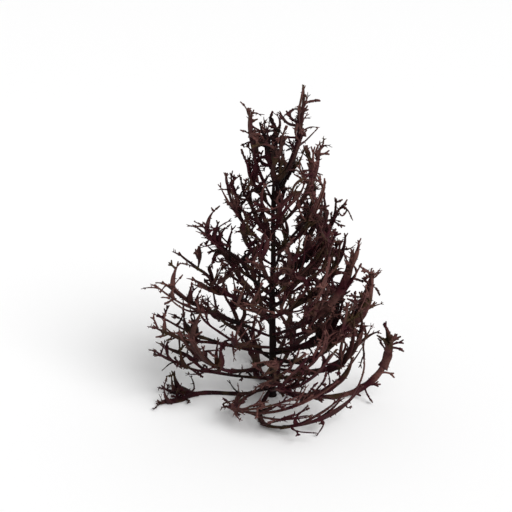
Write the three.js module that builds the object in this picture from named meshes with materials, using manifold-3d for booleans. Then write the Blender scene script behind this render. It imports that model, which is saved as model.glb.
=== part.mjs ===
// A dried sea fan: a bushy colony on one upright stem, cut off flat at its foot.
// Flat, strap-like boughs fork from the stem at every height, lean out and curve
// upwards. Each bough is one piece: a stalk, two arms and a side arm on each.
// Millimetres, +Z up. The origin is the middle of the cut foot of the stem.

import * as THREE from 'three';
import { mergeVertices } from 'three/addons/utils/BufferGeometryUtils.js';
import Module from 'manifold-3d';

const wasm = await Module();
wasm.setup();

// ---- Driving dimensions (millimetres and degrees) ----

const STEM_HEIGHT = 332;
const STEM_FOOT_RADIUS = 4.9;
const STEM_TIP_RADIUS = 1.2;
const STEM_TAPER = 1.3;
const HOLDFAST_FLARE = 1.6; // extra radius at the cut, where the stem spreads
const HOLDFAST_REACH = 7; // height over which that flare dies away
const STEM_SIDES = 10;
const STEM_RINGS = [0, 3, 8, 16, 60, 120, 180, 240, 300];

const JOINT_GAP = 0.3; // between a bough and the stem it leaves
const SHEET_STEP = 2; // step along the curve that a bough's sheet follows
const SHEET_BEND = 1.6; // how late a bough turns upwards
const SHEET_SPARE = 1.4; // a sheet is worked out this much past its bough's length
const SHEET_START = 2; // a sheet begins this far from the stem's axis
const NARROWEST_ARC = 18; // radius under which a sheet stops narrowing to a cone
const STRAP_STEP = 4; // step along a strap
const RESTING_HEIGHT = 1.7; // middle of a strap that lies on the ground
const SECTION_FILL = 0.886; // a flat four-sided section with the area of an ellipse
const ELBOW_ROOM = 1.9; // clear space that a growing bough keeps to the others
const CELL = 12;
const TRIES = 30;
const TURN_ASIDE = 5; // degrees that a crowded bough moves round the stem
const SHIFT_UP = 2.5; // and millimetres that it moves along it

// How straps grow. Pairs are the least and the most; angles are in degrees, and
// lengths and widths that aren't in millimetres are shares of the bough's own.
const WAVE_SIZE = [4, 12];
const WAVE_CYCLES = [0.8, 1.5];
const LIFT_BEND = 1.6; // how late a strap lifts off its sheet
const FORK_SHARE = [0.85, 1.15]; // where a bough forks, beside its plan
const STALK_HEADING = [-4, 4];
const STALK_TURN = [-8, 8];
const STALK_WAVE = 0.5;
const STALK_WIDTH = 0.95;
const ARM_HEADING_KEPT = 0.4; // of the stalk's heading
const ARM_SPLAY = [18, 34];
const ARM_TURN = [4, 44];
const ARM_WAVE = 1.7;
const ARM_LENGTH = [0.86, 1.04];
const ARM_WIDTH = [0.8, 1.1];
const ARM_LIFT = [-4, 11]; // millimetres
const SIDE_ARM_PLACE = [0.28, 0.45];
const SIDE_ARM_SPLAY = [24, 42];
const SIDE_ARM_TURN = [30, 95];
const SIDE_ARM_LENGTH = [0.65, 0.95];
const SIDE_ARM_WIDTH = [0.55, 0.72];
const SIDE_ARM_LIFT = [-6, 15.4]; // millimetres
const STALK_ROOT_WIDTH = 0.62; // of its width at the fork
const STRAP_ROOT_WIDTH = 0.74; // a strap swells from this share of its width
const STRAP_SWELL = 0.34;
const SWELL_ENDS = 0.87;
const TAPER_STARTS = 0.72;
const TIP_WIDTH = 0.45;
const WIDTH_COUNTED = 0.85; // share of two straps' half widths that keeps them apart

const STALK = 0;
const ARM = 1;
const SIDE_ARM = 2;
const STRETCH = [23, 25, 30]; // length of the straight stretches in a stalk, arm and side arm
const FEWEST_STRETCHES = [2, 3, 2];
const ROOT_HALF_THICKNESS = [1.9, 1.5, 1.15];
const TIP_HALF_THICKNESS = [1.9, 1.0, 0.8];

// The outer boughs, which give the colony its outline. Each row: height on the stem,
// azimuth from +X, length, slope where it leaves and where it ends, swirl round the
// stem, spread of its two arms, strap width, share of its length before it forks.
const OUTER_BOUGHS = [
  [10, -12, 213, -16, 116, 12, 0.35, 9.5, 0.8],
  [88, -45, 180, 28, 92, 15, 1.2, 12, 0.4],
  [140, -60, 125, 35, 85, 20, 1.0, 9, 0.35],
  [40, -28, 172, 2, 104, 12, 1.0, 8.5, 0.4],
  [60, 0, 184, 12, 100, 12, 0.9, 8.5, 0.38],
  [110, -8, 168, 32, 92, 12, 1.0, 7, 0.36],
  [165, -15, 155, 34, 98, 12, 1.1, 7, 0.36],
  [225, -14, 122, 46, 90, 10, 0.8, 6, 0.36],
  [268, -18, 132, 66, 88, 10, 1.3, 5.5, 0.6],
  [126, -50, 150, 30, 95, 15, 1.1, 8.5, 0.36],
  [192, -38, 118, 40, 90, 10, 1.0, 6.5, 0.36],
  [10, 174, 146, -16, 20, 6, 0.7, 7, 0.6],
  [26, 186, 160, 2, 42, 6, 0.7, 6.5, 0.5],
  [60, 184, 168, 8, 40, 8, 0.8, 6.5, 0.45],
  [84, 174, 160, 18, 46, 10, 0.9, 6, 0.4],
  [112, 178, 148, 28, 50, 8, 0.9, 6, 0.45],
  [158, 182, 128, 34, 58, 8, 0.8, 5.5, 0.45],
  [198, 180, 120, 42, 86, 10, 0.9, 5.5, 0.4],
  [262, 185, 114, 64, 92, 10, 1.2, 5, 0.5],
  [9, -128, 140, -21, 84, 100, 0.5, 8, 0.6],
  [15, -152, 140, -12, 84, 100, 0.6, 6, 0.55],
  [36, -88, 150, 2, 98, 40, 1.0, 8.5, 0.38],
  [58, -50, 170, 12, 100, 25, 1.0, 8.5, 0.36],
  [52, -152, 150, 2, 70, -18, 0.9, 7.5, 0.42],
  [14, 100, 170, -20, 96, 20, 0.9, 7, 0.45],
  [34, 58, 165, 2, 96, 15, 1.0, 6.5, 0.36],
  [52, 135, 155, 8, 94, -15, 1.0, 6, 0.36],
  [66, -34, 140, 16, 98, 15, 1.2, 8.5, 0.36],
  [150, 10, 135, 34, 96, 10, 1.1, 7, 0.36],
  [256, -60, 104, 62, 90, 12, 0.9, 6, 0.36],
  [22, -60, 150, -6, 100, 20, 1.0, 8.5, 0.4],
];

// The inner boughs fill the colony between them, spiralling up the stem.
const INNER_COUNT = 19;
const INNER_BOUGHS = { // from the lowest to the highest
  height: [34, 300],
  length: [156, 60],
  leave: [6, 59],
  finish: [92, 84],
  swirl: [25, 10],
  spread: [1.25, 0.8],
  width: [5.8, 3.8],
};
const GOLDEN_ANGLE = 137.508;
const INNER_FIRST_AZIMUTH = -75;
const INNER_FORK = 0.34;

const OUTER_SEEDS = 1;
const INNER_SEEDS = 101;
const SEED_STRIDE = 131;

// ---- Small helpers ----

const RAD = Math.PI / 180;
const lerp = THREE.MathUtils.lerp;

/** Mulberry32: a repeatable stream of numbers from 0 to 1. */
function makeRandom(seed) {
  let state = seed >>> 0;
  const next = () => {
    state = (state + 0x6d2b79f5) >>> 0;
    let t = state;
    t = Math.imul(t ^ (t >>> 15), t | 1);
    t = (t ^ (t + Math.imul(t ^ (t >>> 7), t | 61))) >>> 0;
    return ((t ^ (t >>> 14)) >>> 0) / 4294967296;
  };
  return { next, between: (low, high) => low + (high - low) * next() };
}

function stemRadius(height) {
  const z = Math.max(height, 0);
  const taper = lerp(STEM_FOOT_RADIUS, STEM_TIP_RADIUS, (z / STEM_HEIGHT) ** STEM_TAPER);
  return taper + HOLDFAST_FLARE * Math.exp(-z / HOLDFAST_REACH);
}

/** How far a point is outside the stem and the gap round it. */
function clearOfStem(point) {
  return Math.hypot(point.x, point.y) - stemRadius(point.z) - JOINT_GAP;
}

// ---- How a bough grows ----

/**
 * The curved sheet that one bough lies in. A place in it is a distance along the
 * bough, a distance sideways and a lift off the sheet.
 */
class Sheet {
  constructor(plan) {
    this.plan = plan;
    this.curve = [[SHEET_START, plan.height]];
    const steps = Math.ceil((plan.length * SHEET_SPARE) / SHEET_STEP);
    for (let i = 0; i < steps; i += 1) {
      const t = Math.min(((i + 0.5) * SHEET_STEP) / plan.length, 1);
      const slope = lerp(plan.leave, plan.finish, t ** SHEET_BEND) * RAD;
      const [radius, height] = this.curve[i];
      this.curve.push([
        radius + SHEET_STEP * Math.cos(slope),
        height + SHEET_STEP * Math.sin(slope),
      ]);
    }
  }

  flat(along, sideways) {
    const place = Math.max(0, along / SHEET_STEP);
    const i = Math.min(Math.floor(place), this.curve.length - 2);
    const radius = lerp(this.curve[i][0], this.curve[i + 1][0], place - i);
    const height = lerp(this.curve[i][1], this.curve[i + 1][1], place - i);
    const t = along / this.plan.length;
    const swung = (this.plan.azimuth + this.plan.swirl * t * t) * RAD;
    const azimuth = swung + sideways / Math.max(radius, NARROWEST_ARC);
    return new THREE.Vector3(radius * Math.cos(azimuth), radius * Math.sin(azimuth), height);
  }

  normal(along, sideways) {
    const back = this.flat(Math.max(along - 1, 0), sideways);
    const onward = this.flat(along + 1, sideways).sub(back);
    const across = this.flat(along, sideways + 1).sub(this.flat(along, sideways - 1));
    return onward.cross(across).normalize();
  }

  point(along, sideways, lift) {
    return this.flat(along, sideways).addScaledVector(this.normal(along, sideways), lift);
  }
}

/** One strap: it sets off from a spot in the sheet, turns steadily and waves a little. */
function growStrap(sheet, order, start, turn, wave, length, width, lift) {
  const steps = Math.max(3, Math.floor(length / STRAP_STEP + 0.5));
  const step = length / steps;
  const spots = [start];
  let { along, sideways } = start;
  for (let i = 0; i < steps; i += 1) {
    const u = (i + 0.5) / steps;
    const swing = Math.sin(2 * Math.PI * (wave.cycles * u + wave.phase));
    const offset = swing - Math.sin(2 * Math.PI * wave.phase);
    const heading = start.heading + turn * u + wave.size * offset;
    along += Math.cos(heading * RAD) * step;
    sideways += Math.sin(heading * RAD) * step;
    const raised = start.lift + lift * ((i + 1) / steps) ** LIFT_BEND;
    spots.push({ along, sideways, lift: raised, heading });
  }
  const points = spots.map((spot) => {
    const point = sheet.point(spot.along, spot.sideways, spot.lift);
    point.z = Math.max(point.z, RESTING_HEIGHT);
    return point;
  });
  return { order, spots, points, length, width };
}

/** Half the width of a strap at u, from 0 at its start to 1 at its tip. */
function halfWidth(strap, u) {
  if (strap.order === STALK) return (strap.width * lerp(STALK_ROOT_WIDTH, 1, u)) / 2;
  const swell = STRAP_ROOT_WIDTH + STRAP_SWELL * Math.sin(Math.PI * Math.min(1, u / SWELL_ENDS));
  const taper = lerp(1, TIP_WIDTH, Math.max(u - TAPER_STARTS, 0) / (1 - TAPER_STARTS));
  return (strap.width * swell * taper) / 2;
}

function growWave(random, strength) {
  return {
    size: random.between(...WAVE_SIZE) * strength,
    cycles: random.between(...WAVE_CYCLES),
    phase: random.between(0, 1),
  };
}

function growStalk(sheet, random, plan, share) {
  const start = { along: 0, sideways: 0, lift: 0, heading: random.between(...STALK_HEADING) };
  const turn = random.between(...STALK_TURN);
  const wave = growWave(random, STALK_WAVE);
  const length = plan.length * share;
  return growStrap(sheet, STALK, start, turn, wave, length, plan.width * STALK_WIDTH, 0);
}

function growArm(sheet, random, plan, share, fork, side) {
  const splay = side * random.between(...ARM_SPLAY) * plan.spread;
  const heading = fork.heading * ARM_HEADING_KEPT + splay;
  const turn = -side * random.between(...ARM_TURN) * plan.spread;
  const wave = growWave(random, ARM_WAVE);
  const length = plan.length * (1 - share) * random.between(...ARM_LENGTH);
  const width = plan.width * random.between(...ARM_WIDTH);
  const lift = random.between(...ARM_LIFT);
  return growStrap(sheet, ARM, { ...fork, heading }, turn, wave, length, width, lift);
}

function growSideArm(sheet, random, plan, arm, side) {
  const u = random.between(...SIDE_ARM_PLACE);
  const fork = arm.spots[Math.floor(u * (arm.spots.length - 1))];
  const heading = fork.heading + side * random.between(...SIDE_ARM_SPLAY);
  const turn = -side * random.between(...SIDE_ARM_TURN);
  const wave = growWave(random, ARM_WAVE);
  const length = arm.length * (1 - u) * random.between(...SIDE_ARM_LENGTH);
  const width = plan.width * random.between(...SIDE_ARM_WIDTH);
  const lift = random.between(...SIDE_ARM_LIFT);
  return growStrap(sheet, SIDE_ARM, { ...fork, heading }, turn, wave, length, width, lift);
}

function growBough(sheet, random) {
  const { plan } = sheet;
  const share = plan.fork * random.between(...FORK_SHARE);
  const stalk = growStalk(sheet, random, plan, share);
  const fork = stalk.spots[stalk.spots.length - 1];
  const arms = [-1, 1].map((side) => growArm(sheet, random, plan, share, fork, side));
  const sideArms = arms.map((arm, i) => growSideArm(sheet, random, plan, arm, 2 * i - 1));
  return [stalk, ...arms, ...sideArms];
}

// ---- How the boughs keep out of each other's way ----

/** The places taken by the boughs that have already grown. */
class Room {
  constructor() {
    this.cells = new Map();
  }

  /** The places that a strap takes outside the stem, from where it leaves it. */
  static reach(strap) {
    const { points } = strap;
    const reach = [];
    points.forEach((point, i) => {
      if (clearOfStem(point) < 0) return;
      const half = halfWidth(strap, i / (points.length - 1));
      const before = i > 0 ? clearOfStem(points[i - 1]) : 0;
      if (before < 0) {
        const share = before / (before - clearOfStem(point));
        reach.push({ point: points[i - 1].clone().lerp(point, share), half });
      }
      reach.push({ point, half });
    });
    return reach;
  }

  static cell(point, dx = 0, dy = 0, dz = 0) {
    const x = Math.floor(point.x / CELL) + dx;
    const y = Math.floor(point.y / CELL) + dy;
    const z = Math.floor(point.z / CELL) + dz;
    return `${x},${y},${z}`;
  }

  near(point) {
    const found = [];
    for (let dx = -1; dx <= 1; dx += 1) {
      for (let dy = -1; dy <= 1; dy += 1) {
        for (let dz = -1; dz <= 1; dz += 1) {
          found.push(...(this.cells.get(Room.cell(point, dx, dy, dz)) ?? []));
        }
      }
    }
    return found;
  }

  isClear(strap) {
    return Room.reach(strap).every(({ point, half }) =>
      this.near(point).every((taken) => {
        const needed = (half + taken.half) * WIDTH_COUNTED + ELBOW_ROOM;
        return point.distanceToSquared(taken.point) >= needed * needed;
      }),
    );
  }

  take(strap) {
    Room.reach(strap).forEach((place) => {
      const key = Room.cell(place.point);
      if (!this.cells.has(key)) this.cells.set(key, []);
      this.cells.get(key).push(place);
    });
  }
}

/** The plan itself first, then the same bough a little further round the stem. */
function shiftedPlan(plan, attempt) {
  const turned = Math.floor((attempt + 1) / 2) * TURN_ASIDE;
  return {
    ...plan,
    azimuth: plan.azimuth + (attempt % 2 === 1 ? turned : -turned),
    height: plan.height + [0, SHIFT_UP, -SHIFT_UP][attempt % 3],
  };
}

function settleBough(plan, seed, room) {
  for (let attempt = 0; attempt < TRIES; attempt += 1) {
    const sheet = new Sheet(shiftedPlan(plan, attempt));
    const straps = growBough(sheet, makeRandom(seed * SEED_STRIDE + attempt));
    if (straps.every((strap) => strap.order === SIDE_ARM || room.isClear(strap))) {
      const kept = straps.filter((strap) => strap.order !== SIDE_ARM || room.isClear(strap));
      kept.forEach((strap) => room.take(strap));
      return { sheet, straps: kept };
    }
  }
  throw new Error(`no room for the bough with seed ${seed}`);
}

function outerPlans() {
  const keys = ['height', 'azimuth', 'length', 'leave', 'finish', 'swirl', 'spread', 'width', 'fork'];
  return OUTER_BOUGHS.map((row) => Object.fromEntries(keys.map((key, i) => [key, row[i]])));
}

function innerPlans() {
  return Array.from({ length: INNER_COUNT }, (_, i) => {
    const u = (i + 0.5) / INNER_COUNT;
    const plan = { azimuth: i * GOLDEN_ANGLE + INNER_FIRST_AZIMUTH, fork: INNER_FORK };
    Object.entries(INNER_BOUGHS).forEach(([key, [lowest, highest]]) => {
      plan[key] = lerp(lowest, highest, u);
    });
    return plan;
  });
}

// ---- Solids ----

function solidFromTriangles(positions, triangles) {
  const vertProperties = new Float32Array(positions);
  const triVerts = new Uint32Array(triangles);
  return new wasm.Manifold(new wasm.Mesh({ numProp: 3, vertProperties, triVerts }));
}

function solidFromGeometry(geometry) {
  geometry.deleteAttribute('normal');
  geometry.deleteAttribute('uv');
  const merged = mergeVertices(geometry);
  return solidFromTriangles(merged.attributes.position.array, merged.index.array);
}

function geometryFromSolid(solid) {
  const mesh = solid.getMesh();
  const geometry = new THREE.BufferGeometry();
  geometry.setAttribute('position', new THREE.BufferAttribute(mesh.vertProperties, 3));
  geometry.setIndex(new THREE.BufferAttribute(mesh.triVerts, 1));
  geometry.computeVertexNormals();
  return geometry;
}

/** The stem as a turned solid; spare makes it thicker and longer, to cut the boughs. */
function stemSolid(spare) {
  const rings = [...STEM_RINGS, STEM_HEIGHT];
  const outline = rings.map((z) => new THREE.Vector2(stemRadius(z) + spare, z));
  outline[0].y -= spare;
  outline[outline.length - 1].y += spare;
  outline.unshift(new THREE.Vector2(0, outline[0].y));
  outline.push(new THREE.Vector2(0, outline[outline.length - 1].y));
  const geometry = new THREE.LatheGeometry(outline, STEM_SIDES);
  geometry.rotateX(Math.PI / 2);
  return solidFromGeometry(geometry);
}

/** Corners of a strap's section at one spot, counter-clockwise seen from its tip. */
function sectionCorners(sheet, strap, i) {
  const { points, spots } = strap;
  const last = points.length - 1;
  const before = points[Math.max(i - 1, 0)];
  const tangent = points[Math.min(i + 1, last)].clone().sub(before).normalize();
  const normal = sheet.normal(spots[i].along, spots[i].sideways);
  normal.addScaledVector(tangent, -normal.dot(tangent)).normalize();
  const across = normal.clone().cross(tangent);
  const u = i / last;
  const wide = halfWidth(strap, u) * SECTION_FILL;
  const root = ROOT_HALF_THICKNESS[strap.order];
  const thick = lerp(root, TIP_HALF_THICKNESS[strap.order], u) * SECTION_FILL;
  return [[1, 1], [-1, 1], [-1, -1], [1, -1]].map(([a, b]) =>
    points[i].clone().addScaledVector(across, a * wide).addScaledVector(normal, b * thick),
  );
}

/** Corner rings of one strap, from its start or, where it carries on, after it. */
function strapRings(sheet, strap, firstRing) {
  const fewest = FEWEST_STRETCHES[strap.order];
  const segments = Math.max(fewest, Math.round(strap.length / STRETCH[strap.order]));
  const last = strap.points.length - 1;
  const rings = [];
  for (let ring = firstRing; ring <= segments; ring += 1) {
    rings.push(sectionCorners(sheet, strap, Math.round((ring * last) / segments)));
  }
  return rings;
}

/** A limb is one strap, or a stalk that carries on into an arm. */
function limbSolid(sheet, limb) {
  const rings = limb.flatMap((strap, i) => strapRings(sheet, strap, i === 0 ? 0 : 1));
  const positions = rings.flat().flatMap((corner) => corner.toArray());
  const triangles = [0, 3, 2, 0, 2, 1];
  for (let ring = 0; ring < rings.length - 1; ring += 1) {
    for (let side = 0; side < 4; side += 1) {
      const a = ring * 4 + side;
      const b = ring * 4 + ((side + 1) % 4);
      triangles.push(a, b, b + 4, a, b + 4, a + 4);
    }
  }
  const end = (rings.length - 1) * 4;
  triangles.push(end, end + 1, end + 2, end, end + 2, end + 3);
  return solidFromTriangles(positions, triangles);
}

/** Everything below the plane that the colony stands on. */
function groundSolid() {
  const size = 800;
  const depth = 40;
  const geometry = new THREE.BoxGeometry(size, size, depth);
  geometry.translate(0, 0, -depth / 2);
  return solidFromGeometry(geometry);
}

/** The side arms of an inner bough are thin twigs, and stay out of its solid. */
function boughSolid({ sheet, straps }, withSideArms, stem, ground) {
  const solidStraps = straps.filter((strap) => withSideArms || strap.order !== SIDE_ARM);
  const [stalk, leader, ...others] = solidStraps;
  const limbs = [[stalk, leader], ...others.map((strap) => [strap])];
  const [first, ...rest] = limbs.map((limb) => limbSolid(sheet, limb));
  const whole = rest.reduce((solid, limb) => solid.add(limb), first);
  return whole.subtract(stem).subtract(ground);
}

// ---- The colony ----

const HORN = { color: 0x3a2422, roughness: 0.8, metalness: 0 };

function hornMesh(name, solid, height) {
  const geometry = geometryFromSolid(solid);
  geometry.translate(0, 0, -height);
  const mesh = new THREE.Mesh(geometry, new THREE.MeshStandardMaterial(HORN));
  mesh.name = name;
  mesh.position.z = height;
  return mesh;
}

function growColony() {
  const colony = new THREE.Group();
  colony.add(hornMesh('stem', stemSolid(0), 0));
  const room = new Room();
  const stemCutter = stemSolid(JOINT_GAP);
  const ground = groundSolid();
  const addBoughs = (plans, label, firstSeed, withSideArms) => {
    plans.forEach((plan, i) => {
      const bough = settleBough(plan, firstSeed + i, room);
      const name = `${label}_bough_${String(i + 1).padStart(2, '0')}`;
      const solid = boughSolid(bough, withSideArms, stemCutter, ground);
      colony.add(hornMesh(name, solid, bough.sheet.plan.height));
    });
  };
  addBoughs(outerPlans(), 'outer', OUTER_SEEDS, true);
  addBoughs(innerPlans(), 'inner', INNER_SEEDS, false);
  return colony;
}

export default growColony();
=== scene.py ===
"""A dried sea fan: one upright stem and the flat, spiny boughs that fork from it.

The main straps follow the same growth rule as the solids that the frame holds, in
millimetres, so each bough's mesh lies where its solid lies. Branchlets, antler-tipped
twigs and spines are then grown on them. Meshes are made in metres.
"""
import math

import bpy
import numpy as np
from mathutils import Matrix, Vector


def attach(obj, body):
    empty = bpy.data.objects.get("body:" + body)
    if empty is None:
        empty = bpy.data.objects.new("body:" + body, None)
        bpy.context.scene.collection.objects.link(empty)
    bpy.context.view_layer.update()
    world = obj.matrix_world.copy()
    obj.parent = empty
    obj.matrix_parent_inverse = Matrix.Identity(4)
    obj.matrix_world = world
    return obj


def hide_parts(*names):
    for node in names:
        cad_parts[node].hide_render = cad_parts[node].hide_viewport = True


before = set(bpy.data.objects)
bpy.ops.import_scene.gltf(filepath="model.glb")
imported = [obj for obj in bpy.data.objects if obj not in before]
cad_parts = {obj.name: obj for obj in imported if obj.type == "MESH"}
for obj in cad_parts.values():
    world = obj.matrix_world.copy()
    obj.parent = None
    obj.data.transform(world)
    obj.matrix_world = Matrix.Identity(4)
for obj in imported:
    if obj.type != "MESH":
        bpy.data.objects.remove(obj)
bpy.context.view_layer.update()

MM = 0.001
RAD = math.pi / 180

# ---- The growth rule's dimensions (millimetres and degrees), as in the solids ----

STEM_HEIGHT = 332
STEM_FOOT_RADIUS = 4.9
STEM_TIP_RADIUS = 1.2
STEM_TAPER = 1.3
HOLDFAST_FLARE = 1.6
HOLDFAST_REACH = 7
JOINT_GAP = 0.3
SHEET_STEP = 2
SHEET_BEND = 1.6
SHEET_SPARE = 1.4
SHEET_START = 2
NARROWEST_ARC = 18
STRAP_STEP = 4
RESTING_HEIGHT = 1.7
ELBOW_ROOM = 1.9
CELL = 12
TRIES = 30
TURN_ASIDE = 5
SHIFT_UP = 2.5

WAVE_SIZE = (4, 12)
WAVE_CYCLES = (0.8, 1.5)
LIFT_BEND = 1.6
FORK_SHARE = (0.85, 1.15)
STALK_HEADING = (-4, 4)
STALK_TURN = (-8, 8)
STALK_WAVE = 0.5
STALK_WIDTH = 0.95
ARM_HEADING_KEPT = 0.4
ARM_SPLAY = (18, 34)
ARM_TURN = (4, 44)
ARM_WAVE = 1.7
ARM_LENGTH = (0.86, 1.04)
ARM_WIDTH = (0.8, 1.1)
ARM_LIFT = (-4, 11)
SIDE_ARM_PLACE = (0.28, 0.45)
SIDE_ARM_SPLAY = (24, 42)
SIDE_ARM_TURN = (30, 95)
SIDE_ARM_LENGTH = (0.65, 0.95)
SIDE_ARM_WIDTH = (0.55, 0.72)
SIDE_ARM_LIFT = (-6, 15.4)
STALK_ROOT_WIDTH = 0.62
STRAP_ROOT_WIDTH = 0.74
STRAP_SWELL = 0.34
SWELL_ENDS = 0.87
TAPER_STARTS = 0.72
TIP_WIDTH = 0.45
WIDTH_COUNTED = 0.85

STALK, ARM, SIDE_ARM, BRANCHLET = 0, 1, 2, 3

# height, azimuth, length, slope at the start and at the end, swirl, spread, width, fork
OUTER_BOUGHS = [
    (10, -12, 213, -16, 116, 12, 0.35, 9.5, 0.8),
    (88, -45, 180, 28, 92, 15, 1.2, 12, 0.4),
    (140, -60, 125, 35, 85, 20, 1.0, 9, 0.35),
    (40, -28, 172, 2, 104, 12, 1.0, 8.5, 0.4),
    (60, 0, 184, 12, 100, 12, 0.9, 8.5, 0.38),
    (110, -8, 168, 32, 92, 12, 1.0, 7, 0.36),
    (165, -15, 155, 34, 98, 12, 1.1, 7, 0.36),
    (225, -14, 122, 46, 90, 10, 0.8, 6, 0.36),
    (268, -18, 132, 66, 88, 10, 1.3, 5.5, 0.6),
    (126, -50, 150, 30, 95, 15, 1.1, 8.5, 0.36),
    (192, -38, 118, 40, 90, 10, 1.0, 6.5, 0.36),
    (10, 174, 146, -16, 20, 6, 0.7, 7, 0.6),
    (26, 186, 160, 2, 42, 6, 0.7, 6.5, 0.5),
    (60, 184, 168, 8, 40, 8, 0.8, 6.5, 0.45),
    (84, 174, 160, 18, 46, 10, 0.9, 6, 0.4),
    (112, 178, 148, 28, 50, 8, 0.9, 6, 0.45),
    (158, 182, 128, 34, 58, 8, 0.8, 5.5, 0.45),
    (198, 180, 120, 42, 86, 10, 0.9, 5.5, 0.4),
    (262, 185, 114, 64, 92, 10, 1.2, 5, 0.5),
    (9, -128, 140, -21, 84, 100, 0.5, 8, 0.6),
    (15, -152, 140, -12, 84, 100, 0.6, 6, 0.55),
    (36, -88, 150, 2, 98, 40, 1.0, 8.5, 0.38),
    (58, -50, 170, 12, 100, 25, 1.0, 8.5, 0.36),
    (52, -152, 150, 2, 70, -18, 0.9, 7.5, 0.42),
    (14, 100, 170, -20, 96, 20, 0.9, 7, 0.45),
    (34, 58, 165, 2, 96, 15, 1.0, 6.5, 0.36),
    (52, 135, 155, 8, 94, -15, 1.0, 6, 0.36),
    (66, -34, 140, 16, 98, 15, 1.2, 8.5, 0.36),
    (150, 10, 135, 34, 96, 10, 1.1, 7, 0.36),
    (256, -60, 104, 62, 90, 12, 0.9, 6, 0.36),
    (22, -60, 150, -6, 100, 20, 1.0, 8.5, 0.4),
]
INNER_COUNT = 19
INNER_BOUGHS = {  # from the lowest to the highest
    "height": (34, 300),
    "length": (156, 60),
    "leave": (6, 59),
    "finish": (92, 84),
    "swirl": (25, 10),
    "spread": (1.25, 0.8),
    "width": (5.8, 3.8),
}
GOLDEN_ANGLE = 137.508
INNER_FIRST_AZIMUTH = -75
INNER_FORK = 0.34
OUTER_SEEDS = 1
INNER_SEEDS = 101
SEED_STRIDE = 131

# ---- The finer growth (millimetres and degrees). Pairs are the least and the most ----

TWIG_SEEDS = 9001
RING_STEP = 2.0  # between the rings of a strap's mesh
FEWEST_RINGS = 6
FLOOR_SKIN = 0.12  # the lowest that a strap's surface comes
TWIG_CLEARANCE = 1.3  # the lowest that the middle of a twig comes
ROOT_THICKNESS = (1.9, 1.6, 1.35, 1.15)  # half of it, by order
TIP_THICKNESS = (1.8, 1.05, 0.9, 0.7)
STEM_SIDES = 24
STRAP_SIDES = 12
BRANCHLET_SIDES = 8
TWIG_SIDES = 6
WIDTH_RIPPLE = (5, 0.2)  # rings from one ripple to the next, and their size
THICKNESS_RIPPLE = (4, 0.1)
TIP_REACH = 1.6  # a rounded tip's length, in half thicknesses
TIP_RINGS = (0.45, 0.8)  # places of its rings along that length
TIP_POLE = 0.2
WEBS = {ARM: (1.1, 7.0), SIDE_ARM: (1.1, 5.0), BRANCHLET: (0.9, 2.6)}  # extra width, reach

# How a strap twists about its own line, in degrees
FACING = 64  # towards the front, at the right-hand side
LEFT_SIDE = -0.6  # cosine of the azimuth past which a bough is on the left
ROOT_TWIST = (-20, 20)
TIP_TWIST = (-70, 70)
RIGHT_TIP_CALM = 0.5  # share of that twist which the right-hand side loses
LEFT_TIP_TWIST = (45, 85)
BLADE_TWIST = (0, 40)
TWIST_BEND = 1.3

# Ages go from 0, old and dark, to 1, young and brown, and they carry painted shade as well. The
# crown's outline gives them: the further inside the crown, the lower the value, so the inside of
# the colony is painted dark as shade
CROWN_HEIGHT = 420
CROWN_RADIUS = 150
CROWN_ROUNDNESS = 1.6
CROWN_MARGIN = 25
MOST_OPEN = 1.1
AGE_AND_SHADE_OUTWARDS = 0.9
AGE_AND_SHADE_OUTWARDS_BEND = 1.5
AGE_BY_ORDER = 0.04
AGE_ALONG = 0.12
TWIG_TIP_AGE = 0.25
TINE_AGE = 0.15
BOUGH_TONE = (-0.35, 0.3)
# Painted shade: the boughs that lie low, on the left away from the key light, are painted this
# much darker
LOW_BOUGH_PAINTED_SHADE = 0.3
STRAP_TONE = (-0.15, 0.15)

# Branchlets. Places and chances are shares
BRANCHLET_SPLAY = (40, 85)
BRANCHLET_TURN = (50, 210)
BRANCHLET_WAVE = (3, 14)
BRANCHLET_CYCLES = (0.6, 1.2)
BRANCHLET_LIFT = (-18, 22)
BRANCHLET_SPACING = (11, 24)
FIRST_ON_STALK = (0.3, 0.5)
FIRST_ON_ARM = (0.08, 0.22)
LAST_PLACE = 0.94
LONG_CHANCE = 0.32
LONG_LENGTH = (26, 50)
LONG_WIDTH = (3.0, 5.6)
SHORT_LENGTH = (9, 24)
SHORT_WIDTH = (2.1, 3.3)
OFFSHOOTS = 2  # that a long branchlet has
OFFSHOOT_PLACE = (0.3, 0.8)
OFFSHOOT_LENGTH = (8, 20)
OFFSHOOT_WIDTH = (2.0, 3.0)
OFFSHOOT_LIFT = (-11, 13)
BUSHY_LOW = 0.6  # how crowded branchlets are low down
BUSHY_FACING = 0.26  # what facing the front right adds
FRONT_RIGHT = -45  # its azimuth
BUSHY_TOP = 0.36
BUSHY_LEFT = 0.2
BUSHY_HEIGHT = 100  # above it they thin out
FOOT_HEIGHT = 20

# Blades, on boughs that lie low
LOW_FINISH = 72  # a bough lies low if it ends flatter than this
BLADE_PLACES = ((0.25, 0.5), (0.6, 0.85))
BLADE_LENGTH = (18, 32)
BLADE_WIDTH = (4, 7)
BLADE_LIFT = (22, 32)

# Twigs. A taper is the share of its first radius that a twig ends with
TWIG_DENSITY = 0.7
TWIG_SPACING = (4, 9)
TWIG_STEP = 2.2
TWIG_BEND = 0.9
TWIG_FLARE = 0.7
TWIG_FLARE_REACH = 1.3
TWIG_FLATNESS = 0.85
UPWARDS = 0.3
BARE_STALK = 0.45  # share of a stalk that has no twigs
FIRST_TWIG = (2, 6)
OTHER_SIDE_CHANCE = 0.7
TWIG_SLANT = (55, 110)
TWIG_RAISED = (-0.8, 0.8)
TWIG_ROOT = 0.6  # place in the strap's half width
THORN_LENGTH = (1.5, 4.2)
THORN_RADIUS = (0.5, 0.8)
THORN_BEND = 0.4
THORN_TAPER = 0.5
END_TINE_SPREAD = (0.5, 1.3)
END_TINE_LENGTH = (2.5, 6)
END_TINE_RADIUS = 1.15
END_TINE_TAPER = 0.85

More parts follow.
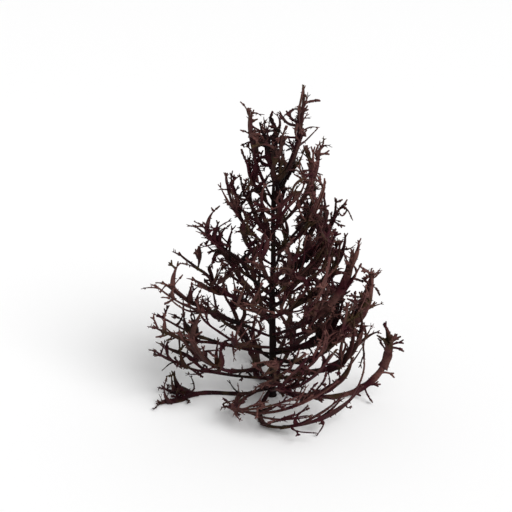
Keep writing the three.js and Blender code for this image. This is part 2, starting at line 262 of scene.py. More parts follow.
# Antlers: twigs that end in blunt tines
ANTLER_CHANCE = (0.2, 0.12)  # on a main strap, on a branchlet
ANTLER_LENGTH = ((5, 16), (4, 8))
ANTLER_RADIUS = (1.0, 1.45)
ANTLER_BEND = (-0.6, 1.5)
ANTLER_TAPER = 0.9
TURNED_FAN_CHANCE = 0.4
TWO_TINES_CHANCE = 0.55
TINE_FAN = (1.0, 2.0)
TINE_REACH = (2.0, 4.4)
TINE_BEND = 0.4
TINE_TAPER = 0.86
MIDDLE_TINE_FROM = 7  # length from which an antler may have a tine half way
MIDDLE_TINE_CHANCE = 0.7
MIDDLE_TINE_ONWARD = 0.6
MIDDLE_TINE_REACH = (2.5, 5)
MIDDLE_TINE_TAPER = 0.8

# Spears, at the ends of the boughs that lie low
SPEAR_LENGTH = (7, 13)
SPEAR_RISE = (-0.1, 0.35)
SPEAR_ONWARD = 0.6
SPEAR_RADIUS = 1.25
SPEAR_TAPER = 0.3
SPINE_CHANCE = 0.5
SPINE_LENGTH = (2, 5)
SPINE_ONWARD = 0.7
SPINE_BEND = 0.5
SPINE_RADIUS = 0.55

# Prongs, on the outside of the bare bough
BARE_FINISH = 115  # a bough is bare if it curls over further than this
STALK_PRONGS = (0.66, 0.8, 0.95)
ARM_PRONGS = (0.55,)
PRONG_SHIFT = (-0.04, 0.04)
PRONG_ONWARD = (0.1, 0.5)
PRONG_ROOT = 0.4
PRONG_LENGTH = (8, 13)
PRONG_RADIUS = (1.4, 1.7)

# The stem's own mesh
STEM_RING_STEP = 1.5
STEM_WOBBLE = (26, 0.9)  # rings from one wobble to the next, and their size
STEM_STRAIGHT = 20  # height over which the wobble sets in
STEM_RIPPLES = ((5, 0.09), (6, 0.09))
STEM_TIP_AGE = 0.45

# Horn: noise scales per metre, and the noise levels between which a tint sets in
PATCH_SCALE = 26
PATCH_LEVELS = (0.42, 0.62)
GREEN_SCALE = 41
GREEN_LEVELS = (0.56, 0.72)
MOTTLE_SCALE = 420
MOTTLE = ((0.3, (0.55, 0.55, 0.55)), (0.7, (1.35, 1.3, 1.28)))
MOTTLE_SHARE = 0.85
AGE_AND_SHADE_LEVELS = (0.1, 1.0)
ROUGH_SCALE = 300
ROUGHNESS = (0.5, 0.85)
GRAIN_SCALE = 900
GRAIN_STRENGTH = 0.5
GRAIN_DEPTH = 0.0004  # metres
SHEEN = 0.1
# The old colours are also painted shade: the inside of the colony is painted with them
STEM_COLOURS = {
    "old_and_shaded": (0.006, 0.003, 0.0026),
    "young": (0.03, 0.012, 0.010),
    "plum": (0.010, 0.004, 0.005),
    "olive": (0.012, 0.008, 0.004),
}
BOUGH_COLOURS = {
    "old_and_shaded": (0.0055, 0.0016, 0.0015),
    "young": (0.125, 0.054, 0.046),
    "plum": (0.036, 0.006, 0.010),
    "olive": (0.040, 0.024, 0.010),
}
BLACK, WHITE = (0, 0, 0), (1, 1, 1)

# The studio, in metres
FLOOR_HALF = 300.0
FLOOR_COLOUR = (0.95, 0.95, 0.95)
FLOOR_ROUGHNESS = 0.9
SKY_STRENGTH = 0.5
KEY_PLACE = (0.95, -1.0, 1.3)
KEY_STRENGTH = 2.65
KEY_SPREAD = 40
LENS = 50  # millimetres, on a 36 mm sensor
SENSOR = 36
FARTHEST = 1000
CAMERA_ELEVATION = 20 * RAD
CAMERA_DISTANCE = 0.8546
CAMERA_AIM = (-0.0207, 0.0, 0.1914)


def lerp(a, b, t):
    return a + (b - a) * t


class Random:
    """Mulberry32: a repeatable stream of numbers from 0 to 1."""

    MASK = 0xFFFFFFFF

    def __init__(self, seed):
        self.state = seed & self.MASK

    def next(self):
        self.state = (self.state + 0x6D2B79F5) & self.MASK
        t = self.state
        t = ((t ^ (t >> 15)) * (t | 1)) & self.MASK
        t = (t ^ (t + ((t ^ (t >> 7)) * (t | 61) & self.MASK))) & self.MASK
        return (t ^ (t >> 14)) / 4294967296

    def between(self, low, high):
        return low + (high - low) * self.next()

    def sign(self):
        return 1 if self.next() < 0.5 else -1


def minus(a, b):
    return (a[0] - b[0], a[1] - b[1], a[2] - b[2])


def cross(a, b):
    return (a[1] * b[2] - a[2] * b[1], a[2] * b[0] - a[0] * b[2], a[0] * b[1] - a[1] * b[0])


def unit(a):
    size = math.sqrt(a[0] * a[0] + a[1] * a[1] + a[2] * a[2]) or 1.0
    return (a[0] / size, a[1] / size, a[2] / size)


def stem_radius(height):
    z = max(height, 0)
    taper = lerp(STEM_FOOT_RADIUS, STEM_TIP_RADIUS, (z / STEM_HEIGHT) ** STEM_TAPER)
    return taper + HOLDFAST_FLARE * math.exp(-z / HOLDFAST_REACH)


def clear_of_stem(point):
    return math.hypot(point[0], point[1]) - stem_radius(point[2]) - JOINT_GAP


# ---- How a bough's main straps grow: the same rule as the solids ----

class Sheet:
    """The curved sheet that one bough lies in."""

    def __init__(self, plan):
        self.plan = plan
        self.curve = [(SHEET_START, plan["height"])]
        for i in range(math.ceil(plan["length"] * SHEET_SPARE / SHEET_STEP)):
            t = min((i + 0.5) * SHEET_STEP / plan["length"], 1)
            slope = lerp(plan["leave"], plan["finish"], t ** SHEET_BEND) * RAD
            radius, height = self.curve[i]
            radius += SHEET_STEP * math.cos(slope)
            height += SHEET_STEP * math.sin(slope)
            self.curve.append((radius, height))

    def flat(self, along, sideways):
        place = max(0, along / SHEET_STEP)
        i = min(int(place), len(self.curve) - 2)
        (r0, z0), (r1, z1) = self.curve[i], self.curve[i + 1]
        radius = lerp(r0, r1, place - i)
        height = lerp(z0, z1, place - i)
        t = along / self.plan["length"]
        swung = (self.plan["azimuth"] + self.plan["swirl"] * t * t) * RAD
        azimuth = swung + sideways / max(radius, NARROWEST_ARC)
        return (radius * math.cos(azimuth), radius * math.sin(azimuth), height)

    def normal(self, along, sideways):
        onward = minus(self.flat(along + 1, sideways), self.flat(max(along - 1, 0), sideways))
        across = minus(self.flat(along, sideways + 1), self.flat(along, sideways - 1))
        return unit(cross(onward, across))

    def point(self, along, sideways, lift):
        x, y, z = self.flat(along, sideways)
        nx, ny, nz = self.normal(along, sideways)
        return (x + nx * lift, y + ny * lift, z + nz * lift)


class Strap:
    """A strap sets off from a spot in the sheet, turns steadily and waves a little."""

    def __init__(self, sheet, order, start, turn, wave, length, width, lift):
        self.sheet, self.order, self.length, self.width = sheet, order, length, width
        self.face_on = False
        size, cycles, phase = wave
        steps = max(3, int(length / STRAP_STEP + 0.5))
        step = length / steps
        along, sideways, first_lift, first_heading = start
        self.spots = [start]
        for i in range(steps):
            u = (i + 0.5) / steps
            swing = math.sin(2 * math.pi * (cycles * u + phase)) - math.sin(2 * math.pi * phase)
            heading = first_heading + turn * u + size * swing
            along += math.cos(heading * RAD) * step
            sideways += math.sin(heading * RAD) * step
            raised = first_lift + lift * ((i + 1) / steps) ** LIFT_BEND
            self.spots.append((along, sideways, raised, heading))
        self.points = []
        for spot in self.spots:
            x, y, z = sheet.point(spot[0], spot[1], spot[2])
            self.points.append((x, y, max(z, RESTING_HEIGHT)))

    def half_width(self, u):
        if self.order == STALK:
            return self.width * lerp(STALK_ROOT_WIDTH, 1, u) / 2
        swell = STRAP_ROOT_WIDTH + STRAP_SWELL * math.sin(math.pi * min(1, u / SWELL_ENDS))
        taper = lerp(1, TIP_WIDTH, max(u - TAPER_STARTS, 0) / (1 - TAPER_STARTS))
        return self.width * swell * taper / 2

    def spot_at(self, u):
        return self.spots[int(u * (len(self.spots) - 1))]


def grow_wave(random, strength):
    size = random.between(*WAVE_SIZE) * strength
    return (size, random.between(*WAVE_CYCLES), random.between(0, 1))


def grow_stalk(sheet, random, plan, share):
    start = (0, 0, 0, random.between(*STALK_HEADING))
    turn = random.between(*STALK_TURN)
    wave = grow_wave(random, STALK_WAVE)
    length = plan["length"] * share
    return Strap(sheet, STALK, start, turn, wave, length, plan["width"] * STALK_WIDTH, 0)


def grow_arm(sheet, random, plan, share, fork, side):
    heading = fork[3] * ARM_HEADING_KEPT + side * random.between(*ARM_SPLAY) * plan["spread"]
    turn = -side * random.between(*ARM_TURN) * plan["spread"]
    wave = grow_wave(random, ARM_WAVE)
    length = plan["length"] * (1 - share) * random.between(*ARM_LENGTH)
    width = plan["width"] * random.between(*ARM_WIDTH)
    lift = random.between(*ARM_LIFT)
    start = (fork[0], fork[1], fork[2], heading)
    return Strap(sheet, ARM, start, turn, wave, length, width, lift)


def grow_side_arm(sheet, random, plan, arm, side):
    u = random.between(*SIDE_ARM_PLACE)
    fork = arm.spot_at(u)
    heading = fork[3] + side * random.between(*SIDE_ARM_SPLAY)
    turn = -side * random.between(*SIDE_ARM_TURN)
    wave = grow_wave(random, ARM_WAVE)
    length = arm.length * (1 - u) * random.between(*SIDE_ARM_LENGTH)
    width = plan["width"] * random.between(*SIDE_ARM_WIDTH)
    lift = random.between(*SIDE_ARM_LIFT)
    start = (fork[0], fork[1], fork[2], heading)
    return Strap(sheet, SIDE_ARM, start, turn, wave, length, width, lift)


def grow_bough(sheet, random):
    plan = sheet.plan
    share = plan["fork"] * random.between(*FORK_SHARE)
    stalk = grow_stalk(sheet, random, plan, share)
    arms = [grow_arm(sheet, random, plan, share, stalk.spots[-1], side) for side in (-1, 1)]
    side_arms = [grow_side_arm(sheet, random, plan, arm, side) for arm, side in zip(arms, (-1, 1))]
    return [stalk] + arms + side_arms


class Room:
    """The places taken by the boughs that have already grown."""

    def __init__(self):
        self.cells = {}

    @staticmethod
    def reach(strap):
        places = []
        last = len(strap.points) - 1
        for i, point in enumerate(strap.points):
            if clear_of_stem(point) < 0:
                continue
            half = strap.half_width(i / last)
            before = clear_of_stem(strap.points[i - 1]) if i > 0 else 0
            if before < 0:
                share = before / (before - clear_of_stem(point))
                leaving = tuple(lerp(a, b, share) for a, b in zip(strap.points[i - 1], point))
                places.append((leaving, half))
            places.append((point, half))
        return places

    @staticmethod
    def cell(point):
        return tuple(math.floor(value / CELL) for value in point)

    def near(self, point):
        x, y, z = self.cell(point)
        for dx in (-1, 0, 1):
            for dy in (-1, 0, 1):
                for dz in (-1, 0, 1):
                    yield from self.cells.get((x + dx, y + dy, z + dz), ())

    def is_clear(self, strap):
        for point, half in self.reach(strap):
            for taken, taken_half in self.near(point):
                needed = (half + taken_half) * WIDTH_COUNTED + ELBOW_ROOM
                dx, dy, dz = minus(point, taken)
                if dx * dx + dy * dy + dz * dz < needed * needed:
                    return False
        return True

    def take(self, strap):
        for place in self.reach(strap):
            self.cells.setdefault(self.cell(place[0]), []).append(place)


def shifted_plan(plan, attempt):
    turned = (attempt + 1) // 2 * TURN_ASIDE
    shifted = dict(plan)
    shifted["azimuth"] += turned if attempt % 2 == 1 else -turned
    shifted["height"] += (0, SHIFT_UP, -SHIFT_UP)[attempt % 3]
    return shifted


def settle_bough(plan, seed, room):
    for attempt in range(TRIES):
        sheet = Sheet(shifted_plan(plan, attempt))
        straps = grow_bough(sheet, Random(seed * SEED_STRIDE + attempt))
        if all(strap.order == SIDE_ARM or room.is_clear(strap) for strap in straps):
            kept = [strap for strap in straps if strap.order != SIDE_ARM or room.is_clear(strap)]
            for strap in kept:
                room.take(strap)
            return kept
    raise RuntimeError(f"no room for the bough with seed {seed}")


def outer_plans():
    keys = ("height", "azimuth", "length", "leave", "finish", "swirl", "spread", "width", "fork")
    return [dict(zip(keys, row)) for row in OUTER_BOUGHS]


def inner_plans():
    plans = []
    for i in range(INNER_COUNT):
        u = (i + 0.5) / INNER_COUNT
        plan = {key: lerp(lowest, highest, u) for key, (lowest, highest) in INNER_BOUGHS.items()}
        plan["azimuth"] = i * GOLDEN_ANGLE + INNER_FIRST_AZIMUTH
        plan["fork"] = INNER_FORK
        plans.append(plan)
    return plans


# ---- Meshes: closed tubes swept along a line ----

def units(vectors):
    return vectors / np.maximum(np.linalg.norm(vectors, axis=1, keepdims=True), 1e-9)


def tangents(points):
    return units(np.gradient(points, axis=0))


def smoothed(values, count):
    """Values at even steps along a smooth curve through the given ones."""
    values = np.asarray(values, dtype=float)
    place = np.linspace(0, len(values) - 1, count)
    i = np.minimum(place.astype(int), len(values) - 2)
    t = (place - i).reshape((-1,) + (1,) * (values.ndim - 1))
    slopes = np.gradient(values, axis=0)
    start, end = values[i], values[i + 1]
    leaving, arriving = slopes[i], slopes[i + 1]
    return ((2 * t**3 - 3 * t**2 + 1) * start + (t**3 - 2 * t**2 + t) * leaving
            + (3 * t**2 - 2 * t**3) * end + (t**3 - t**2) * arriving)


def ripple(random, count, spacing, size):
    """Smooth random wobble along a line: one random value every few rings."""
    knots = max(3, int(count / spacing) + 2)
    values = [random.between(-size, size) for _ in range(knots)]
    return smoothed(values, count)


class Skin:
    """Collects swept tubes and turns them into one mesh object."""

    def __init__(self):
        self.vertices, self.quads, self.triangles, self.ages_and_shade = [], [], [], []
        self.count = 0

    def sweep(self, points, across, wide, thick, age_and_shade, sides):
        """A closed tube with oval rings; its tip is rounded off."""
        onward = tangents(points)
        across = units(across - onward * np.sum(across * onward, axis=1, keepdims=True))
        normal = np.cross(onward, across)
        reach = min(wide[-1], TIP_REACH * thick[-1])
        steps = np.array(TIP_RINGS)
        shrink = np.sqrt(1 - steps**2)
        points = np.vstack([points, points[-1] + onward[-1] * reach * steps[:, None]])
        across = np.vstack([across, across[-1:], across[-1:]])
        normal = np.vstack([normal, normal[-1:], normal[-1:]])
        wide = np.concatenate([wide, wide[-1] * shrink])
        thick = np.concatenate([thick, thick[-1] * shrink])
        age_and_shade = np.concatenate([age_and_shade, [age_and_shade[-1]] * len(steps)])
        end = points[-1] + onward[-1] * reach * TIP_POLE
        angle = np.arange(sides) * 2 * math.pi / sides
        rings = (points[:, None, :]
                 + across[:, None, :] * (wide[:, None] * np.cos(angle))[:, :, None]
                 + normal[:, None, :] * (thick[:, None] * np.sin(angle))[:, :, None])
        n = len(points)
        first = self.count
        self.vertices += [rings.reshape(-1, 3), points[:1], end.reshape(1, 3)]
        self.ages_and_shade += [np.repeat(age_and_shade, sides), age_and_shade[:1], age_and_shade[-1:]]
        k = np.arange(sides)
        nxt = (k + 1) % sides
        base = first + np.arange(n - 1)[:, None] * sides
        self.quads.append(np.stack([base + k, base + nxt, base + sides + nxt, base + sides + k],
                                   axis=2).reshape(-1, 4))
        start_pole = first + n * sides
        last = first + (n - 1) * sides
        poles = np.full(sides, start_pole)
        self.triangles.append(np.stack([poles, first + nxt, first + k], axis=1))
        self.triangles.append(np.stack([poles + 1, last + k, last + nxt], axis=1))
        self.count += n * sides + 2

    def build(self, name, material):
        vertices = np.vstack(self.vertices)
        vertices[:, 2] = np.maximum(vertices[:, 2], FLOOR_SKIN)
        vertices *= MM
        quads, triangles = np.vstack(self.quads), np.vstack(self.triangles)
        mesh = bpy.data.meshes.new(name)
        mesh.vertices.add(len(vertices))
        mesh.vertices.foreach_set("co", vertices.ravel())
        mesh.loops.add(quads.size + triangles.size)
        mesh.loops.foreach_set("vertex_index", np.concatenate([quads.ravel(), triangles.ravel()]))
        mesh.polygons.add(len(quads) + len(triangles))
        starts = np.concatenate([np.arange(len(quads)) * 4,
                                 quads.size + np.arange(len(triangles)) * 3])
        mesh.polygons.foreach_set("loop_start", starts)
        mesh.update(calc_edges=True)
        mesh.shade_smooth()
        age_and_shade = mesh.attributes.new("age_and_shade", "FLOAT", "POINT")
        age_and_shade.data.foreach_set("value", np.concatenate(self.ages_and_shade))
        mesh.materials.append(material)
        mesh.validate()
        piece = bpy.data.objects.new(name, mesh)
        bpy.context.scene.collection.objects.link(piece)
        return piece


# ---- Finer growth on the straps ----

class Limb:
    """A strap's line, frames and widths, fine enough for its mesh and its twigs."""

    def __init__(self, strap, random):
        count = max(FEWEST_RINGS, int(strap.length / RING_STEP))
        last = len(strap.points) - 1
        self.order = strap.order
        self.points = smoothed(strap.points, count)
        self.onward = tangents(self.points)
        normals = smoothed([strap.sheet.normal(s[0], s[1]) for s in strap.spots], count)
        slip = np.sum(normals * self.onward, axis=1, keepdims=True)
        normals = units(normals - self.onward * slip)
        flat_across = np.cross(normals, self.onward)
        u = np.linspace(0, 1, count)
        twist = self.twist(random, u, strap)[:, None]
        self.across = flat_across * np.cos(twist) + normals * np.sin(twist)
        self.normal = np.cross(self.onward, self.across)
        widths = np.array([strap.half_width(i / last) for i in range(last + 1)])
        self.wide = smoothed(widths, count) * (1 + ripple(random, count, *WIDTH_RIPPLE))
        self.thick = lerp(ROOT_THICKNESS[self.order], TIP_THICKNESS[self.order], u)
        self.thick = np.minimum(self.thick, self.wide)
        self.thick = self.thick * (1 + ripple(random, count, *THICKNESS_RIPPLE))
        if self.order > STALK:
            web, reach = WEBS[self.order]
            self.wide = self.wide * (1 + web * np.exp(-u * strap.length / reach))
        self.age_and_shade = self.ages_and_shade(u)

    def twist(self, random, u, strap):
        """The right-hand straps turn their flat face to the front, the left-hand
        ones only near their tips, and the rest as they please."""
        sideways = math.cos(strap.sheet.plan["azimuth"] * RAD)
        right = max(sideways, 0)
        start = FACING * right + random.between(*ROOT_TWIST)
        if sideways < LEFT_SIDE:
            end = random.sign() * random.between(*LEFT_TIP_TWIST)
        else:
            end = FACING * right + random.between(*TIP_TWIST) * (1 - RIGHT_TIP_CALM * right)
        if strap.face_on:
            start, end = FACING, FACING + random.between(*BLADE_TWIST)
        elif self.order == STALK:
            start = 0
        return lerp(start, end, u ** TWIST_BEND) * RAD

    def ages_and_shade(self, u):
        """Dark inside the colony, as old horn and as painted shade; young and brown at its edge
        and tips.
        """
        out = np.hypot(self.points[:, 0], self.points[:, 1])
        height = np.clip(self.points[:, 2] / CROWN_HEIGHT, 0, 1)
        edge = CROWN_RADIUS * (1 - height ** CROWN_ROUNDNESS) + CROWN_MARGIN
        openness = np.clip(out / edge, 0, MOST_OPEN)
        # The openness term paints shade: the further inside the crown, the darker the horn
        return (AGE_AND_SHADE_OUTWARDS * openness ** AGE_AND_SHADE_OUTWARDS_BEND + AGE_BY_ORDER * self.order
                + AGE_ALONG * u)


def grow_branchlet(parent, u, length, width, lift, random):
    fork = parent.spot_at(u)
    side = random.sign()
    start = (fork[0], fork[1], fork[2], fork[3] + side * random.between(*BRANCHLET_SPLAY))
    turn = -side * random.between(*BRANCHLET_TURN)
    wave = (random.between(*BRANCHLET_WAVE), random.between(*BRANCHLET_CYCLES),
            random.between(0, 1))
    return Strap(parent.sheet, BRANCHLET, start, turn, wave, length, width, lift)


def grow_branchlets(straps, random, crowding):
    """Thin straps: long ones that branch again, and short ones."""
    grown = []
    for strap in straps:
        u = random.between(*(FIRST_ON_STALK if strap.order == STALK else FIRST_ON_ARM))
        while u < LAST_PLACE:
            long = random.next() < LONG_CHANCE
            length = random.between(*(LONG_LENGTH if long else SHORT_LENGTH))
            width = random.between(*(LONG_WIDTH if long else SHORT_WIDTH))
            lift = random.between(*BRANCHLET_LIFT)
            branchlet = grow_branchlet(strap, u, length, width, lift, random)
            grown.append(branchlet)
            for _ in range(OFFSHOOTS if long else 0):
                place = random.between(*OFFSHOOT_PLACE)
                length, width = random.between(*OFFSHOOT_LENGTH), random.between(*OFFSHOOT_WIDTH)
                lift = random.between(*OFFSHOOT_LIFT)
                grown.append(grow_branchlet(branchlet, place, length, width, lift, random))
            u += random.between(*BRANCHLET_SPACING) / (crowding * strap.length)
    return grown


def grow_blades(arms, random):
    """Broad, short crescents that rise from the arms of a bough that lies low."""
    grown = []
    for arm in arms:
        for place in [random.between(*places) for places in BLADE_PLACES]:
            length, width = random.between(*BLADE_LENGTH), random.between(*BLADE_WIDTH)
            lift = random.between(*BLADE_LIFT)
            blade = grow_branchlet(arm, place, length, width, lift, random)
            blade.face_on = True
            grown.append(blade)
    return grown


def normalized(vector):
    return vector / max(np.linalg.norm(vector), 1e-9)


def grow_twig(skin, start, direction, length, bend, radius, taper, age_and_shade):
    """A round twig that bends a little; returns its points and last direction."""
    steps = max(3, int(length / TWIG_STEP) + 1)
    points = [start]
    direction = normalized(direction)
    for _ in range(steps):
        direction = normalized(direction + bend * TWIG_BEND / steps)
        ahead = points[-1] + direction * length / steps
        if ahead[2] < TWIG_CLEARANCE:
            direction = normalized(direction * np.array([1, 1, -1]) + np.array([0, 0, UPWARDS]))
            ahead = points[-1] + direction * length / steps
        points.append(ahead)
    points = np.array(points)
    distance = np.linspace(0, length, steps + 1)
    flare = 1 + TWIG_FLARE * np.exp(-distance / TWIG_FLARE_REACH)
    widths = radius * lerp(1, taper, distance / length) * flare
    along_x = abs(direction[0]) > 0.8
    aside = np.array([0.31, 0.17, 0.93] if along_x else [0.97, 0.11, 0.2])
    across = np.repeat(aside[None, :], steps + 1, axis=0)
    ages_and_shade = np.clip(np.linspace(age_and_shade, age_and_shade + TWIG_TIP_AGE, steps + 1), 0, 1)
    skin.sweep(points, across, widths, widths * TWIG_FLATNESS, ages_and_shade, TWIG_SIDES)
    return points, direction


def grow_antler(skin, start, direction, onward, length, radius, age_and_shade, random):
    """A twig that ends in two or three blunt tines, with sometimes one half way."""
    bend = onward * random.between(*ANTLER_BEND)
    points, heading = grow_twig(skin, start, direction, length, bend, radius, ANTLER_TAPER, age_and_shade)
    fan_way = normalized(onward - heading * np.dot(onward, heading))
    if random.next() < TURNED_FAN_CHANCE:
        fan_way = np.cross(heading, fan_way)
    tine_age_and_shade = age_and_shade + TINE_AGE
    tines = 2 if random.next() < TWO_TINES_CHANCE else 3
    for k in range(tines):
        fan = (k - (tines - 1) / 2) * random.between(*TINE_FAN)
        reach = random.between(*TINE_REACH) * radius
        grow_twig(skin, points[-1], heading + fan_way * fan, reach, heading * TINE_BEND,
                  radius * TINE_TAPER, TINE_TAPER, tine_age_and_shade)
    if length > MIDDLE_TINE_FROM and random.next() < MIDDLE_TINE_CHANCE:
        tine = heading * MIDDLE_TINE_ONWARD + fan_way * random.sign()
        reach = random.between(*MIDDLE_TINE_REACH)
        grow_twig(skin, points[len(points) // 2], tine, reach, heading,
                  radius * MIDDLE_TINE_TAPER, MIDDLE_TINE_TAPER, tine_age_and_shade)


def grow_edge_twig(skin, limb, i, side, random):
    """A thorn or an antler on one edge of a limb."""
    slant = random.between(*TWIG_SLANT) * RAD
    onward, across = limb.onward[i], limb.across[i]
    direction = (onward * math.cos(slant) + across * side * math.sin(slant)
                 + limb.normal[i] * random.between(*TWIG_RAISED))
    start = limb.points[i] + across * side * limb.wide[i] * TWIG_ROOT
    kind = int(limb.order == BRANCHLET)
    if random.next() < ANTLER_CHANCE[kind]:
        length, radius = random.between(*ANTLER_LENGTH[kind]), random.between(*ANTLER_RADIUS)
        grow_antler(skin, start, direction, onward, length, radius, limb.age_and_shade[i], random)
    else:
        length, radius = random.between(*THORN_LENGTH), random.between(*THORN_RADIUS)
        bend = onward * THORN_BEND
        grow_twig(skin, start, direction, length, bend, radius, THORN_TAPER, limb.age_and_shade[i])


def grow_end_tines(skin, limb, random):
    for side in (-1, 1):
        tine = limb.onward[-1] + limb.across[-1] * side * random.between(*END_TINE_SPREAD)
        radius = min(limb.wide[-1], END_TINE_RADIUS)
        grow_twig(skin, limb.points[-1], tine, random.between(*END_TINE_LENGTH),
                  limb.onward[-1], radius, END_TINE_TAPER, limb.age_and_shade[-1])


def grow_twigs(skin, limb, random):
    """Thorns and antlers along a limb's edges, and tines at its tip."""
    side = random.sign()
    left = random.between(*FIRST_TWIG)
    bare = int(len(limb.points) * BARE_STALK) if limb.order == STALK else 1
    for i in range(1, len(limb.points)):
        left -= np.linalg.norm(limb.points[i] - limb.points[i - 1])
        if i < bare:
            left = max(left, 0)
            continue
        while left < 0:
            left += random.between(*TWIG_SPACING) / TWIG_DENSITY
            side = -side if random.next() < OTHER_SIDE_CHANCE else side
            grow_edge_twig(skin, limb, i, side, random)
    grow_end_tines(skin, limb, random)


def is_low_lying(plan):
    return plan["finish"] < LOW_FINISH


def is_bare(plan):
    return plan["finish"] > BARE_FINISH


def outwards(point):
    return normalized(point * np.array([1, 1, 0]))


def grow_spear(skin, limb, random):
    """A long, fine, straight spike that carries an arm on outwards, with a few spines."""
    rise = np.array([0, 0, random.between(*SPEAR_RISE)])
    direction = normalized(limb.onward[-1] * SPEAR_ONWARD + outwards(limb.points[-1]) + rise)
    points, heading = grow_twig(skin, limb.points[-1], direction, random.between(*SPEAR_LENGTH),
                                direction * 0, SPEAR_RADIUS, SPEAR_TAPER, limb.age_and_shade[-1])
    for point in points[1:-1]:
        way = normalized(np.array([random.between(-1, 1) for _ in range(3)]))
        if random.next() < SPINE_CHANCE:
            grow_twig(skin, point, way + heading * SPINE_ONWARD, random.between(*SPINE_LENGTH),
                      heading * SPINE_BEND, SPINE_RADIUS, THORN_TAPER, limb.age_and_shade[-1])


def grow_prongs(skin, limb, random):
    """Long antlers, spaced out along the outside of a bare bough."""
    for place in STALK_PRONGS if limb.order == STALK else ARM_PRONGS:
        i = int((place + random.between(*PRONG_SHIFT)) * (len(limb.points) - 1))
        out = outwards(limb.points[i])
        direction = out + limb.onward[i] * random.between(*PRONG_ONWARD)
        edge = limb.across[i] * limb.wide[i] * PRONG_ROOT * np.sign(np.dot(limb.across[i], out))
        length, radius = random.between(*PRONG_LENGTH), random.between(*PRONG_RADIUS)
        grow_antler(skin, limb.points[i] + edge, direction, limb.onward[i], length, radius,
                    limb.age_and_shade[i], random)


def bushiness(plan):
    """Branchlets are few on boughs at the foot, at the top and on the left, and
    most crowded low down at the front and the right."""
    if is_low_lying(plan):
        return BUSHY_LEFT
    if plan["height"] < FOOT_HEIGHT:
        return BUSHY_LOW
    facing = math.cos((plan["azimuth"] - FRONT_RIGHT) * RAD)
    low = BUSHY_LOW + BUSHY_FACING * max(facing, 0)
    up = max(plan["height"] - BUSHY_HEIGHT, 0) / (STEM_HEIGHT - BUSHY_HEIGHT)
    return lerp(low, BUSHY_TOP, up)


def small_straps(straps, random):
    """Everything between the arms and the twigs, by the kind of bough."""
    plan = straps[0].sheet.plan
    if is_bare(plan):
        return []
    grown = grow_branchlets(straps, random, bushiness(plan))
    if is_low_lying(plan):
        grown += grow_blades([strap for strap in straps if strap.order == ARM], random)
    return grown


def bough_piece(name, straps, seed, material):
    random = Random(seed)
    skin = Skin()
    plan = straps[0].sheet.plan
    # Random tone, plus painted shade that darkens a bough lying low on the left
    tone_and_shade = random.between(*BOUGH_TONE) - LOW_BOUGH_PAINTED_SHADE * is_low_lying(plan)
    for strap in straps + small_straps(straps, random):
        limb = Limb(strap, random)
        limb.age_and_shade = np.clip(limb.age_and_shade + tone_and_shade + random.between(*STRAP_TONE), 0, 1)
        sides = STRAP_SIDES if strap.order < BRANCHLET else BRANCHLET_SIDES
        skin.sweep(limb.points, limb.across, limb.wide, limb.thick, limb.age_and_shade, sides)
        grow_twigs(skin, limb, random)
        if is_bare(plan):
            grow_prongs(skin, limb, random)
        if strap.order in (ARM, SIDE_ARM) and is_low_lying(plan):
            grow_spear(skin, limb, random)
    return skin.build(name, material)


def stem_piece(name, material):
    random = Random(TWIG_SEEDS - 1)
    skin = Skin()
    count = int(STEM_HEIGHT / STEM_RING_STEP)
    height = np.linspace(0, STEM_HEIGHT, count)
    fade = np.clip(height / STEM_STRAIGHT, 0, 1)
    sideways = [ripple(random, count, *STEM_WOBBLE) * fade for _ in range(2)]
    points = np.stack([*sideways, height], axis=1)
    radius = np.array([stem_radius(z) for z in height])
    across = np.repeat(np.array([[1.0, 0.0, 0.0]]), count, axis=0)
    wide, thick = [radius * (1 + ripple(random, count, *sizes)) for sizes in STEM_RIPPLES]
    age_and_shade = np.linspace(0, STEM_TIP_AGE, count)
    skin.sweep(points, across, wide, thick, age_and_shade, STEM_SIDES)
    return skin.build(name, material)


# ---- Materials ----

def colour_ramp(nodes, stops):
    """A ramp between two stops, each a place and a colour."""
    ramp = nodes.new("ShaderNodeValToRGB")
    for element, (place, colour) in zip(ramp.color_ramp.elements, stops):
        element.position = place
        element.color = (*colour, 1)
    return ramp


def noise(nodes, links, coordinates, scale, detail, roughness=0.55):
    texture = nodes.new("ShaderNodeTexNoise")
    texture.inputs["Scale"].default_value = scale
    texture.inputs["Detail"].default_value = detail
    texture.inputs["Roughness"].default_value = roughness
    links.new(coordinates, texture.inputs["Vector"])
    return texture.outputs["Fac"]


def mixed(nodes, links, blend, factor, first, second):
    mix = nodes.new("ShaderNodeMix")
    mix.data_type = "RGBA"
    mix.blend_type = blend
    for socket, value in (("Factor", factor), ("A", first), ("B", second)):
        target = next(s for s in mix.inputs if s.name == socket and s.enabled)
        if isinstance(value, (int, float)):
            target.default_value = value
        elif isinstance(value, tuple):
            target.default_value = (*value, 1)
        else:
            links.new(value, target)
    return next(s for s in mix.outputs if s.enabled)


